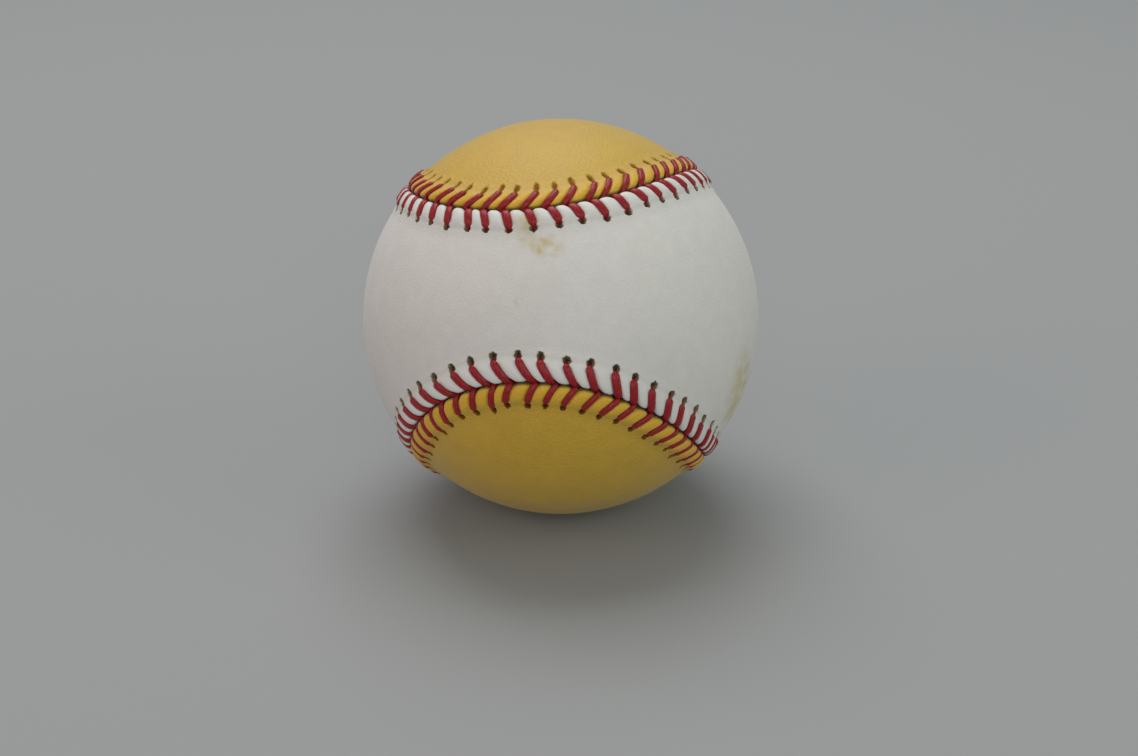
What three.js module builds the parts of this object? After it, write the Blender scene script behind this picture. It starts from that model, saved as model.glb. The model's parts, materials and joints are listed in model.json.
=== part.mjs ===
// A baseball: a cork and rubber pill, four windings of yarn, and two figure-eight leather covers, one gold and
// one white, laced together edge to edge with 108 pairs of stitches in waxed thread.
// Millimetres, +Z up, origin at the centre of the ball, turned as the ball lies when it is shown.
import * as THREE from "three";

// The pill
const CORK_DIAMETER = 20.6;
const BLACK_RUBBER_THICKNESS = 3.85;
const GASKET_THICKNESS = 0.8;
const RED_RUBBER_THICKNESS = 2.3;

// The windings, from the inside out
const GREY_WINDING_THICKNESS = 13.85;
const WHITE_WINDING_THICKNESS = 1.6;
const OUTER_GREY_WINDING_THICKNESS = 2.05;
const FINISHING_WINDING_THICKNESS = 0.4;
const YARN_END_OPENING = 3.2;

// The leather and its raised margins on both sides of the seam
const LEATHER_THICKNESS = 1.3;
const SEAM_GAP = 0.9;
const SEAM_RISE = 0.65;
const EDGE_ROLL = 0.5;
const EDGE_SKIVE = 0.25;
const CREST_SETBACK = 2.0;
const HOLE_SETBACK = 4.2;
const HOLE_DIMPLE = 0.12;
const MARGIN_WIDTH = 6.0;

// The stitches
const STITCH_PAIRS = 108;
const THREAD_WIDTH = 1.5;
const BUNCHED_WIDTH = 1.25;
const THREAD_CROWN = 0.9;
const THREAD_THICKNESS = 0.5;

// Clearances
const LAYER_CLEARANCE = 0.1;
const THREAD_CLEARANCE = 0.18;

// The seam's shape: the share of the third harmonic, which sets how narrow the covers' waists are
const SEAM_WAVE = 0.302;

// Where the holes lie between two ribs of the margin, and how far a stitch leans before it meets the seam, in
// pitches: less than half a pitch on the white cover, and more by as much on the gold one
const HOLE_PHASE = -0.2;
const STITCH_LEAN = 0.5;
const LEAN_SPREAD = 0.24;
const END_SHARE = 0.38;

// How the ball lies, in degrees: turned about the vertical, tipped towards the viewer, and rolled about the axis
// through the two waists
const CRADLE_TURN = -13;
const CRADLE_TIP = -26.5;
const CRADLE_ROLL = -6.8;

// Facets of the round layers
const FACETS_AROUND = 14;
const FACETS_POLE_TO_POLE = 8;

// Facets of the covers' fields: how many ribs of the margin share a spoke, the steps from the margin to the
// spine, the share of the seam beside a lobe's end whose spokes fan round the lobe's middle, and the angle from
// the waist to that middle in degrees
const RIBS_PER_SPOKE = 2;
const FIELD_STEPS = 4;
const FAN_SHARE = 1 / 8;
const LOBE_ANGLE = 100;

const WHITE = 1;
const GOLD = -1;

// Radii, built up from the cork
const corkRadius = CORK_DIAMETER / 2;
const blackInner = corkRadius + LAYER_CLEARANCE;
const blackOuter = blackInner + BLACK_RUBBER_THICKNESS;
const redInner = blackOuter + LAYER_CLEARANCE;
const redOuter = redInner + RED_RUBBER_THICKNESS;
const greyInner = redOuter + LAYER_CLEARANCE;
const greyOuter = greyInner + GREY_WINDING_THICKNESS;
const whiteInner = greyOuter + LAYER_CLEARANCE;
const whiteOuter = whiteInner + WHITE_WINDING_THICKNESS;
const outerGreyInner = whiteOuter + LAYER_CLEARANCE;
const outerGreyOuter = outerGreyInner + OUTER_GREY_WINDING_THICKNESS;
const finishInner = outerGreyOuter + LAYER_CLEARANCE;
const finishOuter = finishInner + FINISHING_WINDING_THICKNESS;

// Heights of the margin above the ball's smooth surface, at a distance from the seam
const marginHeight = (fromSeam) =>
  (SEAM_RISE * (MARGIN_WIDTH - fromSeam)) / (MARGIN_WIDTH - CREST_SETBACK);
const edgeTop = SEAM_RISE - EDGE_ROLL;
const edgeBottom = edgeTop - (LEATHER_THICKNESS - EDGE_SKIVE);
const holeHalfLength = THREAD_WIDTH / 2 + THREAD_CLEARANCE;
const holeHalfWidth = THREAD_THICKNESS / 2 + THREAD_CLEARANCE;
const holeNear = HOLE_SETBACK - holeHalfWidth;
const holeFar = HOLE_SETBACK + holeHalfWidth;

// The thread runs under the raised margin, so the leather stands off the windings by what the thread needs
const underRim = marginHeight(holeNear) - LEATHER_THICKNESS;
const threadBed = THREAD_THICKNESS + 2 * THREAD_CLEARANCE - underRim;
const ballRadius = finishOuter + threadBed;

// The seam on the unit sphere: the closed curve that divides it into two equal figure-eights
class SeamCurve extends THREE.Curve {
  getPoint(share, target = new THREE.Vector3()) {
    const angle = share * 2 * Math.PI;
    const base = 1 - SEAM_WAVE;
    return target.set(
      base * Math.cos(angle) - SEAM_WAVE * Math.cos(3 * angle),
      2 * Math.sqrt(base * SEAM_WAVE) * Math.cos(2 * angle),
      -base * Math.sin(angle) - SEAM_WAVE * Math.sin(3 * angle),
    );
  }
}
const seam = new SeamCurve();
seam.arcLengthDivisions = 4320;

// A station counts stitch pitches along the seam. The frame there points out of the ball, along the seam, and
// across it into the white cover.
const frames = new Map();
function seamFrame(station) {
  const share = THREE.MathUtils.euclideanModulo(station / STITCH_PAIRS, 1);
  if (!frames.has(share)) {
    const out = seam.getPointAt(share).normalize();
    const along = seam.getTangentAt(share).projectOnPlane(out).normalize();
    frames.set(share, { out, along, across: along.clone().cross(out) });
  }
  return frames.get(share);
}

// The point at a station, a distance from the seam into one cover, and a height above the ball's smooth surface
function seamPoint(side, station, fromSeam, height) {
  const { out, across } = seamFrame(station);
  const angle = (side * fromSeam) / ballRadius;
  return out
    .clone()
    .multiplyScalar(Math.cos(angle))
    .addScaledVector(across, Math.sin(angle))
    .multiplyScalar(ballRadius + height);
}

// Collects the corners of triangles. A turned skin has its faces the other way round.
class Skin {
  constructor(turned = false) {
    this.turned = turned;
    this.corners = [];
  }
  triangle(a, b, c) {
    this.corners.push(...(this.turned ? [a, c, b] : [a, b, c]));
  }
  quad(a, b, c, d) {
    this.triangle(a, b, c);
    this.triangle(a, c, d);
  }
}

function skinGeometry(corners) {
  const geometry = new THREE.BufferGeometry().setFromPoints(corners);
  geometry.computeVertexNormals();
  return geometry;
}

// Layers of the pill and the windings. All have their facets at the same latitudes and longitudes, so that one
// layer's flats lie along the next one's.

// A point of a round layer's profile, so many facets up from the lower pole
function latitude(radius, step) {
  const angle = (step * Math.PI) / FACETS_POLE_TO_POLE;
  return new THREE.Vector2(radius * Math.sin(angle), -radius * Math.cos(angle));
}

// How far a facet beside a pole or the equator drops from the tangent plane there, per millimetre along it
const FACET_SLOPE = Math.tan(Math.PI / 2 / FACETS_POLE_TO_POLE);

const arc = (radius, steps) => Array.from({ length: steps }, (_, step) => latitude(radius, step));

const revolve = (profile) => new THREE.LatheGeometry(profile, FACETS_AROUND);

const ball = (radius) => new THREE.SphereGeometry(radius, FACETS_AROUND, FACETS_POLE_TO_POLE, Math.PI / 2);

// Half of a layer, with its flat rim a distance off the middle plane
function halfShell(innerRadius, outerRadius, rimHeight) {
  const rim = (radius) => new THREE.Vector2(radius - rimHeight * FACET_SLOPE, -rimHeight);
  const outer = [...arc(outerRadius, FACETS_POLE_TO_POLE / 2), rim(outerRadius)];
  const inner = [...arc(innerRadius, FACETS_POLE_TO_POLE / 2), rim(innerRadius)];
  return revolve([...outer, ...inner.reverse()]);
}

function washer(innerRadius, outerRadius, thickness) {
  const half = thickness / 2;
  return revolve([
    new THREE.Vector2(innerRadius, -half),
    new THREE.Vector2(outerRadius, -half),
    new THREE.Vector2(outerRadius, half),
    new THREE.Vector2(innerRadius, half),
    new THREE.Vector2(innerRadius, -half),
  ]);
}

// One yarn wound into a layer, with the small opening at a pole where the yarn's end is drawn in
function winding(innerRadius, outerRadius) {
  const mouthRadius = YARN_END_OPENING / 2;
  const mouth = (radius) => new THREE.Vector2(mouthRadius, radius - mouthRadius * FACET_SLOPE);
  const outer = [...arc(outerRadius, FACETS_POLE_TO_POLE), mouth(outerRadius)];
  const inner = [...arc(innerRadius, FACETS_POLE_TO_POLE), mouth(innerRadius)];
  return revolve([...outer, ...inner.reverse()]);
}

// The covers

// The corners of a stitch hole on one skin of the leather, that far below the margin's raised surface: near and
// far from the seam, before and after the hole's middle along the seam
function holeCorners(side, cell, depth) {
  const station = cell + HOLE_PHASE;
  const { along } = seamFrame(station);
  const corner = (fromSeam, way) =>
    seamPoint(side, station, fromSeam, marginHeight(fromSeam) - depth)
      .addScaledVector(along, way * holeHalfLength);
  return [corner(holeNear, -1), corner(holeNear, 1), corner(holeFar, 1), corner(holeFar, -1)];
}

// A ring of faces between two outlines of four corners
function addRing(skin, outline, opening) {
  for (let corner = 0; corner < 4; corner++) {
    const turn = (corner + 1) % 4;
    skin.quad(outline[corner], outline[turn], opening[turn], opening[corner]);
  }
}

// The line from the middle of one lobe over the waist to the middle of the other, as a direction at an angle
function spinePoint(side, angle) {
  return side === WHITE
    ? new THREE.Vector3(Math.sin(angle), -Math.cos(angle), 0)
    : new THREE.Vector3(0, Math.cos(angle), -Math.sin(angle));
}

// Hubs are even steps along the spine. A spoke near a lobe's end goes to the hub at that lobe's middle.
function hubOfRib(side, rib, hubs) {
  const lobeEnd = side === WHITE ? 0 : STITCH_PAIRS / 4;
  const otherEnd = STITCH_PAIRS / 2;
  const station = THREE.MathUtils.euclideanModulo(rib - 0.5 - lobeEnd + otherEnd, STITCH_PAIRS);
  const fromEnd = Math.abs(station - otherEnd);
  const hub = Math.floor((fromEnd - STITCH_PAIRS * FAN_SHARE) / RIBS_PER_SPOKE);
  return THREE.MathUtils.clamp(hub, 0, hubs);
}

// Points along a great circle from a point of the rim to a hub, on a sphere
function spokePoints(rimPoint, hub, radius) {
  const end = rimPoint.clone().normalize();
  const spread = hub.angleTo(end);
  return Array.from({ length: FIELD_STEPS }, (_, step) => {
    const share = (step + 1) / FIELD_STEPS;
    return end
      .clone()
      .multiplyScalar(Math.sin((1 - share) * spread))
      .addScaledVector(hub, Math.sin(share * spread))
      .setLength(radius);
  });
}

// The smooth field inside a cover's margin, between spokes from the margin to the spine
function addField(skin, side, rim, radius) {
  const hubs = Math.floor((STITCH_PAIRS / 2) * (1 - 4 * FAN_SHARE) / RIBS_PER_SPOKE);
  const lobeAngle = THREE.MathUtils.degToRad(LOBE_ANGLE);
  const spokes = [];
  for (let rib = 0; rib < STITCH_PAIRS; rib += RIBS_PER_SPOKE) {
    const hub = hubOfRib(side, rib, hubs);
    const middle = spinePoint(side, lobeAngle * (1 - (2 * hub) / hubs));
    spokes.push({ rib, hub, points: spokePoints(rim[rib], middle, radius) });
  }
  spokes.forEach((spoke, i) => {
    const next = spokes[(i + 1) % spokes.length];
    const lastRib = next.rib || STITCH_PAIRS;
    for (let rib = spoke.rib; rib < lastRib; rib++) {
      const tip = rib === spoke.rib ? spoke.points[0] : next.points[0];
      skin.triangle(rim[rib], tip, rim[rib + 1]);
    }
    skin.triangle(spoke.points[0], next.points[0], rim[spoke.rib + 1]);
    for (let step = 1; step < FIELD_STEPS; step++) {
      const [outer, inner] = [spoke.points[step - 1], spoke.points[step]];
      const [nextInner, nextOuter] = [next.points[step], next.points[step - 1]];
      if (step === FIELD_STEPS - 1 && spoke.hub === next.hub) {
        skin.triangle(outer, inner, nextOuter);
      } else {
        skin.quad(outer, inner, nextInner, nextOuter);
      }
    }
  });
}

// One cover: its edge, its raised margin with a hole for each stitch, and its field, outside and inside
function coverGeometry(side) {
  const outside = new Skin(side === GOLD);
  const inside = new Skin(side === WHITE);
  const row = (fromSeam, height) =>
    Array.from({ length: STITCH_PAIRS + 1 }, (_, rib) => seamPoint(side, rib - 0.5, fromSeam, height));
  const edge = row(SEAM_GAP / 2, edgeTop);
  const crest = row(CREST_SETBACK, SEAM_RISE);
  const rim = row(MARGIN_WIDTH, 0);
  const innerEdge = row(SEAM_GAP / 2, edgeBottom);
  const innerRim = row(MARGIN_WIDTH, -LEATHER_THICKNESS);
  for (let cell = 0; cell < STITCH_PAIRS; cell++) {
    const next = cell + 1;
    const mouth = holeCorners(side, cell, HOLE_DIMPLE);
    const innerMouth = holeCorners(side, cell, LEATHER_THICKNESS);
    outside.quad(edge[cell], crest[cell], crest[next], edge[next]);
    outside.quad(edge[next], innerEdge[next], innerEdge[cell], edge[cell]);
    addRing(inside, [crest[cell], crest[next], rim[next], rim[cell]], mouth);
    addRing(outside, [innerEdge[cell], innerEdge[next], innerRim[next], innerRim[cell]], innerMouth);
    addRing(inside, mouth, innerMouth);
  }
  addField(outside, side, rim, ballRadius);
  addField(inside, side, innerRim, ballRadius - LEATHER_THICKNESS);
  return skinGeometry([...outside.corners, ...inside.corners]);
}

// The thread

// A section of the flat thread, between two lines along the seam, each at a distance from it and a height. The
// two change places when the thread goes over to the other cover, so that it isn't turned inside out there.
function threadSection(side, station, near, far, nearWidth, farWidth) {
  const { along } = seamFrame(station);
  const corners = ([fromSeam, height], width) => {
    const middle = seamPoint(side, station, fromSeam, height);
    return [-width / 2, width / 2].map((reach) => middle.clone().addScaledVector(along, reach));
  };
  const [nearBefore, nearAfter] = corners(near, nearWidth);
  const [farBefore, farAfter] = corners(far, farWidth);
  return side === WHITE
    ? [nearBefore, nearAfter, farAfter, farBefore]
    : [farBefore, farAfter, nearAfter, nearBefore];
}

// One needle's thread. It comes up through a hole, lies over the margin, goes down between the two covers and
// under the other margin, and comes up through the next hole there. Its two ends lie under the margins.
function threadSections(firstSide) {
  const half = THREAD_THICKNESS / 2;
  const overEdge = edgeTop + THREAD_CLEARANCE;
  const overCrest = SEAM_RISE + THREAD_CLEARANCE;
  const overRim = marginHeight(holeNear) - HOLE_DIMPLE + THREAD_CLEARANCE;
  const belowEdge = edgeBottom - THREAD_CLEARANCE;
  const belowRim = underRim - THREAD_CLEARANCE;
  const holeInner = HOLE_SETBACK - half;
  const holeOuter = HOLE_SETBACK + half;
  const leanOn = (side) => STITCH_LEAN - side * LEAN_SPREAD;

  const belowHole = (side, hole) => {
    const under = [holeOuter, belowRim - THREAD_THICKNESS];
    return threadSection(side, hole, [holeInner, belowRim], under, THREAD_WIDTH, THREAD_WIDTH);
  };
  const aboveHole = (side, hole) => {
    const dome = [holeOuter, overRim + THREAD_THICKNESS];
    return threadSection(side, hole, [holeInner, overRim], dome, THREAD_WIDTH, THREAD_CROWN);
  };
  const onCrest = (side, hole) => {
    const station = hole - leanOn(side) * (1 - CREST_SETBACK / HOLE_SETBACK);
    const dome = [CREST_SETBACK, overCrest + THREAD_THICKNESS];
    return threadSection(side, station, [CREST_SETBACK, overCrest], dome, THREAD_WIDTH, THREAD_CROWN);
  };
  const intoSlit = (side, slit) => {
    const dome = [-half, overEdge + THREAD_THICKNESS];
    return threadSection(side, slit, [half, overEdge], dome, BUNCHED_WIDTH, THREAD_CROWN);
  };
  const belowSlit = (side, slit) => {
    const under = [-half, belowEdge - THREAD_THICKNESS];
    return threadSection(side, slit, [half, belowEdge], under, BUNCHED_WIDTH, BUNCHED_WIDTH);
  };

  // A cut across the thread's run under a margin, a share of the way from the hole to the slit
  const cutEnd = (hole, slit, share) => {
    const slitSection = belowSlit(firstSide, slit);
    return belowHole(firstSide, hole).map((corner, i) => corner.lerp(slitSection[i], share));
  };

  const run = leanOn(firstSide);
  const lastHole = HOLE_PHASE - STITCH_PAIRS;
  const sections = [cutEnd(HOLE_PHASE, HOLE_PHASE + run, END_SHARE)];
  for (let stitch = 0; stitch < STITCH_PAIRS; stitch++) {
    const side = stitch % 2 ? -firstSide : firstSide;
    const hole = HOLE_PHASE - stitch;
    const slit = hole - leanOn(side);
    sections.push(belowHole(side, hole), aboveHole(side, hole), onCrest(side, hole));
    sections.push(intoSlit(side, slit), belowSlit(-side, slit));
  }
  sections.push(cutEnd(lastHole, lastHole + run, 1 - END_SHARE));
  return sections;
}

function threadGeometry(sections) {
  const skin = new Skin();
  const last = sections.length - 1;
  for (let i = 0; i < last; i++) {
    for (let corner = 0; corner < 4; corner++) {
      const turn = (corner + 1) % 4;
      const [here, there] = [sections[i], sections[i + 1]];
      skin.quad(here[corner], there[corner], there[turn], here[turn]);
    }
  }
  skin.quad(...sections[0]);
  skin.quad(...sections[last].slice().reverse());
  return skinGeometry(skin.corners);
}

// The least distance between corners of one thread that lie at least a whole stitch apart along it
function leastGap(sections) {
  const stitchSections = Math.floor(sections.length / STITCH_PAIRS);
  let least = Infinity;
  sections.forEach((here, i) => {
    for (let j = i + stitchSections; j < sections.length; j++) {
      for (const a of here) {
        for (const b of sections[j]) {
          least = Math.min(least, a.distanceTo(b));
        }
      }
    }
  });
  return least;
}

// Materials
const material = (color, roughness) =>
  new THREE.MeshStandardMaterial({ color, roughness, metalness: 0 });
const cork = material(0x9c6b3f, 0.9);
const blackRubber = material(0x1c1b1a, 0.7);
const redRubber = material(0x7e1f1b, 0.65);
const greyWool = material(0x8a8781, 0.95);
const whiteWool = material(0xd8d2c4, 0.95);
const finishingYarn = material(0xe6e0d2, 0.9);
const whiteLeather = material(0xd2cfc9, 0.5);
const goldLeather = material(0xc29c27, 0.5);
const redThread = material(0x951920, 0.5);

const baseball = new THREE.Group();
baseball.rotation.set(
  THREE.MathUtils.degToRad(CRADLE_TIP),
  THREE.MathUtils.degToRad(CRADLE_ROLL),
  THREE.MathUtils.degToRad(CRADLE_TURN),
  "ZXY",
);

function addPiece(name, geometry, finish, turned = 0) {
  const mesh = new THREE.Mesh(geometry, finish);
  mesh.name = name;
  mesh.rotation.x = turned;
  baseball.add(mesh);
}

const blackRim = GASKET_THICKNESS / 2 + LAYER_CLEARANCE;
const redRim = LAYER_CLEARANCE / 2;
addPiece("cork_core", ball(corkRadius), cork);
addPiece("black_rubber_shell_a", halfShell(blackInner, blackOuter, blackRim), blackRubber);
addPiece("black_rubber_shell_b", halfShell(blackInner, blackOuter, blackRim), blackRubber, Math.PI);
addPiece("rubber_gasket", washer(blackInner, blackOuter - LAYER_CLEARANCE, GASKET_THICKNESS), redRubber);
addPiece("red_rubber_shell_a", halfShell(redInner, redOuter, redRim), redRubber);
addPiece("red_rubber_shell_b", halfShell(redInner, redOuter, redRim), redRubber, Math.PI);
addPiece("grey_wool_winding", winding(greyInner, greyOuter), greyWool);
addPiece("white_wool_winding", winding(whiteInner, whiteOuter), whiteWool);
addPiece("outer_grey_wool_winding", winding(outerGreyInner, outerGreyOuter), greyWool);
addPiece("finishing_yarn_winding", winding(finishInner, finishOuter), finishingYarn);
addPiece("white_cover", coverGeometry(WHITE), whiteLeather);
addPiece("gold_cover", coverGeometry(GOLD), goldLeather);

for (const [name, firstSide] of [
  ["seam_thread_a", WHITE],
  ["seam_thread_b", GOLD],
]) {
  const sections = threadSections(firstSide);
  console.log(`${name} least gap to itself: ${leastGap(sections).toFixed(2)} mm`);
  addPiece(name, threadGeometry(sections), redThread);
}

export default baseball;
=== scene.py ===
"""The looks of a gold and white baseball: laced leather covers, waxed thread, and the wound core inside.

Metres, +Z up, -Y towards the viewer. A place on the leather is a station along the seam in stitch pitches,
a distance from the seam along the ball, and a height. A signed distance is positive in the white cover.
"""

import json
import math
from functools import partial, reduce

import bpy
import numpy as np
from mathutils import Euler, Matrix, Vector


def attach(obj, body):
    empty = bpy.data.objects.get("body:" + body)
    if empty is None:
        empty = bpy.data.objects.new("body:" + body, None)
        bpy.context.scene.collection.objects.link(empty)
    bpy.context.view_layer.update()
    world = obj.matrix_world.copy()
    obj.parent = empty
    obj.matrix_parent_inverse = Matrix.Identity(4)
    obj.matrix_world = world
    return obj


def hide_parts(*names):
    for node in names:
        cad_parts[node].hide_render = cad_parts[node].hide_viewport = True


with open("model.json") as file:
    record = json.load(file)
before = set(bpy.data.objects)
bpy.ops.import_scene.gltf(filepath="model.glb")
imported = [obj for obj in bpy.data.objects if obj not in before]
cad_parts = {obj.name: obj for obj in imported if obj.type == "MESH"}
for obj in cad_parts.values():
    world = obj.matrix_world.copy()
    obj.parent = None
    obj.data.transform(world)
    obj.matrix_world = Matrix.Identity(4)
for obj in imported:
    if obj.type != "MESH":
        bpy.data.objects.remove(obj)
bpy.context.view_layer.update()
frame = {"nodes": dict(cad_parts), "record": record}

bl_info = {
    "name": "Laced leather baseball",
    "version": (1, 0, 0),
    "blender": (4, 5, 0),
    "location": "3D View > Sidebar > Baseball",
    "description": "Makes the covers, lacing, core and studio of a gold and white baseball",
    "category": "Add Mesh",
}

MM = 0.001
WHITE = 1
GOLD = -1
SIDE_NAMES = {WHITE: "white", GOLD: "gold"}

# The ball's smooth radius: the frame's one mount is the lowest point of the leather sphere
BALL_RADIUS = -frame["record"]["mounts"][0]["pos_m"][2]
ROOT = "root"


def linear(colour):
    """A colour written as sRGB hex, such as #C8A050, as linear red, green and blue."""
    parts = [int(colour[i : i + 2], 16) / 255 for i in (1, 3, 5)]
    return tuple(c / 12.92 if c <= 0.04045 else ((c + 0.055) / 1.055) ** 2.4 for c in parts)


def unit(vectors):
    """Vectors of the same directions, of length 1."""
    return vectors / np.linalg.norm(vectors, axis=-1, keepdims=True)


def length_prop(name, description, default):
    """A length that the panel shows, given in millimetres."""
    return bpy.props.FloatProperty(
        name=name, description=description, default=default * MM, unit="LENGTH", precision=5
    )


def colour_prop(name, description, default):
    """A colour that the panel shows, given as sRGB hex."""
    return bpy.props.FloatVectorProperty(
        name=name, description=description, default=linear(default), subtype="COLOR", min=0, max=1
    )


class BaseballSizes(bpy.types.PropertyGroup):
    """Sizes of the covers, the holes and the thread."""

    stitch_pairs: bpy.props.IntProperty(
        name="Stitch pairs", description="Pairs of stitches round the whole seam", default=108
    )
    seam_wave: bpy.props.FloatProperty(
        name="Seam wave", description="Share of the third harmonic in the seam curve", default=0.302
    )
    leather: length_prop("Leather", "Thickness of the covers", 1.3)
    seam_rise: length_prop("Seam rise", "Height of the crest over the smooth ball", 0.7)
    crest_setback: length_prop("Crest setback", "Distance of the crest from the seam", 1.45)
    margin: length_prop("Margin", "Width of the raised margin on each cover", 6.2)
    edge_roll: length_prop("Edge roll", "Drop from the crest to the edge in the slit", 0.7)
    slit: length_prop("Slit", "Gap between the covers where no thread pulls them", 0.24)
    puff: length_prop("Puff", "Height of the leather between two stitches", 0.26)
    groove: length_prop("Groove", "Depth that a stitch presses into the leather", 0.26)
    hole_width: length_prop("Hole width", "Length of a stitch hole along the seam", 1.3)
    scallop: length_prop("Scallop", "Distance that a stitch pulls the edge back", 0.5)
    hole_depth: length_prop("Hole depth", "Depth of a stitch hole", 0.6)
    thread_width: length_prop("Thread width", "Width of the flattened thread", 1.45)
    thread_thickness: length_prop("Thread thickness", "Thickness of the flattened thread", 0.62)


class BaseballColours(bpy.types.PropertyGroup):
    """Colours of the leathers, the thread, the core and the studio."""

    white_leather: colour_prop("White leather", "The clean white cover", "#D2CFC9")
    gold_leather: colour_prop("Gold leather", "The dyed gold cover", "#C29C27")
    thread: colour_prop("Thread", "The waxed red thread", "#951920")
    # The hole colours are the torn fibres' colour, darkened as painted shade to 0.2 of it deep in a hole.
    white_hole: colour_prop("Hole in white", "Torn fibres of the white cover", "#7C684E")
    gold_hole: colour_prop("Hole in gold", "Torn fibres of the gold cover", "#875B14")
    # The margin colours paint the puffs' highlight: a brighter, more saturated band along the slit.
    white_margin_highlight: colour_prop("White margin", "White leather under the lacing", "#D8D6D0")
    gold_margin_highlight: colour_prop("Gold margin", "Gold leather under the lacing", "#E0AC10")
    # The bleed colour is dye bled from the thread, and also painted shade in the gold cover's grooves.
    bleed_and_groove_shade: colour_prop("Bled dye", "Gold leather stained by the thread's dye", "#A8561A")
    stain: colour_prop("Stain", "Old spots on the white leather", "#BDAE78")
    cork: colour_prop("Cork", "The granules of the cork core", "#A5744A")
    black_rubber: colour_prop("Black rubber", "The inner rubber shells", "#1E1D1C")
    red_rubber: colour_prop("Red rubber", "The outer rubber shells and the gasket", "#7E1F1B")
    grey_wool: colour_prop("Grey wool", "The first and third windings", "#8A8781")
    white_wool: colour_prop("White wool", "The second winding", "#D8D2C4")
    finishing_yarn: colour_prop("Finishing yarn", "The last winding", "#E6E0D2")
    floor: colour_prop("Floor", "The studio floor", "#979999")
    backdrop: colour_prop("Backdrop", "The even light and backdrop all round", "#97999B")


# How the ball lies, in degrees: turned about the vertical, tipped to the viewer, rolled about its waists
CRADLE_TURN = -13
CRADLE_TIP = -26.5
CRADLE_ROLL = -6.8


def cradle():
    """The turn from the ball's own frame to the one it is shown in, for row vectors."""
    roll = Euler((0, math.radians(CRADLE_ROLL), 0)).to_matrix()
    tip = Euler((math.radians(CRADLE_TIP), 0, 0)).to_matrix()
    turn = Euler((0, 0, math.radians(CRADLE_TURN))).to_matrix()
    return np.array(turn @ tip @ roll).T


# The photograph: its frame and the ball's middle in pixels, the lens, and the distance in ball radii
PHOTO_WIDTH = 1138
PHOTO_HEIGHT = 756
BALL_PIXEL = (560.9, 317.0)
CAMERA_LENS = 55.8
SENSOR_WIDTH = 36
CAMERA_PITCH = math.radians(22.9)
CAMERA_DISTANCE = 8.984
FOCAL_PIXELS = CAMERA_LENS / SENSOR_WIDTH * PHOTO_WIDTH

# To the right, down and ahead in the photograph, one row each
CAMERA_AXES = np.array(
    [
        [1, 0, 0],
        [0, -math.sin(CAMERA_PITCH), -math.cos(CAMERA_PITCH)],
        [0, math.cos(CAMERA_PITCH), -math.sin(CAMERA_PITCH)],
    ]
)


def ray_through(x, y):
    """The direction from the camera through a pixel of the photograph."""
    return unit(np.array([x - PHOTO_WIDTH / 2, y - PHOTO_HEIGHT / 2, FOCAL_PIXELS])) @ CAMERA_AXES


def camera_place():
    """The camera's place, so that the ball's middle falls on its pixel."""
    return -ray_through(*BALL_PIXEL) * CAMERA_DISTANCE * BALL_RADIUS


# The seam and the places of the stitches

# Points that measure the curve, the station in the middle of the top seam, and a small step in pitches
SEAM_SAMPLES = 8640
TOP_SEAM = 81
STRETCH_STEP = 0.05

# How the sewing of each cover drifts: a middle value, and its change at the top seam, opposite half round.
# Phases and leans are in pitches, lengths in millimetres.
HOLE_PHASE = {WHITE: (-0.1, -0.2), GOLD: (-0.17, 0.03)}
STITCH_LEAN = {WHITE: (0.43, -0.13), GOLD: (0.57, 0.13)}
HOLE_SETBACK = {WHITE: (4.2, -0.35), GOLD: (4.2, 0.0)}
HOLE_LENGTH = {WHITE: (1.5, -0.25), GOLD: (1.72, 0.5)}
# The holes' opening sets their depth and how far painted shade darkens them, most half round from the top
# seam on the gold cover.
HOLE_DEPTH_AND_SHADE = {WHITE: (0.95, -0.05), GOLD: (0.9, -0.38)}
PUFF_SHARE = {WHITE: (1.0, 0.0), GOLD: (1.1, -0.4)}

# Widths of legs and holes on each cover, as shares of the full ones
LEG_WIDTH_SHARE = {WHITE: 1.0, GOLD: 0.79}
HOLE_WIDTH_SHARE = {WHITE: 1.0, GOLD: 0.8}

# How far from a hole's middle its leg comes out, in hole lengths, the power of the leg's bend, and how many
# corrections find it
MOUTH_SHARE = 0.45
LEG_BEND = 1.35
LEG_CORRECTIONS = 4

# A hand's errors: phase and lean in pitches, setback in millimetres, the others as shares, and how many
# waves tear a hole's rim
HAND_SEED = 9
PHASE_ERROR = 0.055
LEAN_ERROR = 0.03
SETBACK_ERROR = 0.19
LENGTH_ERROR = 0.1
PUFF_ERROR = 0.18
WIDTH_ERROR = 0.05
TEAR_WAVES = 6


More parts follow.
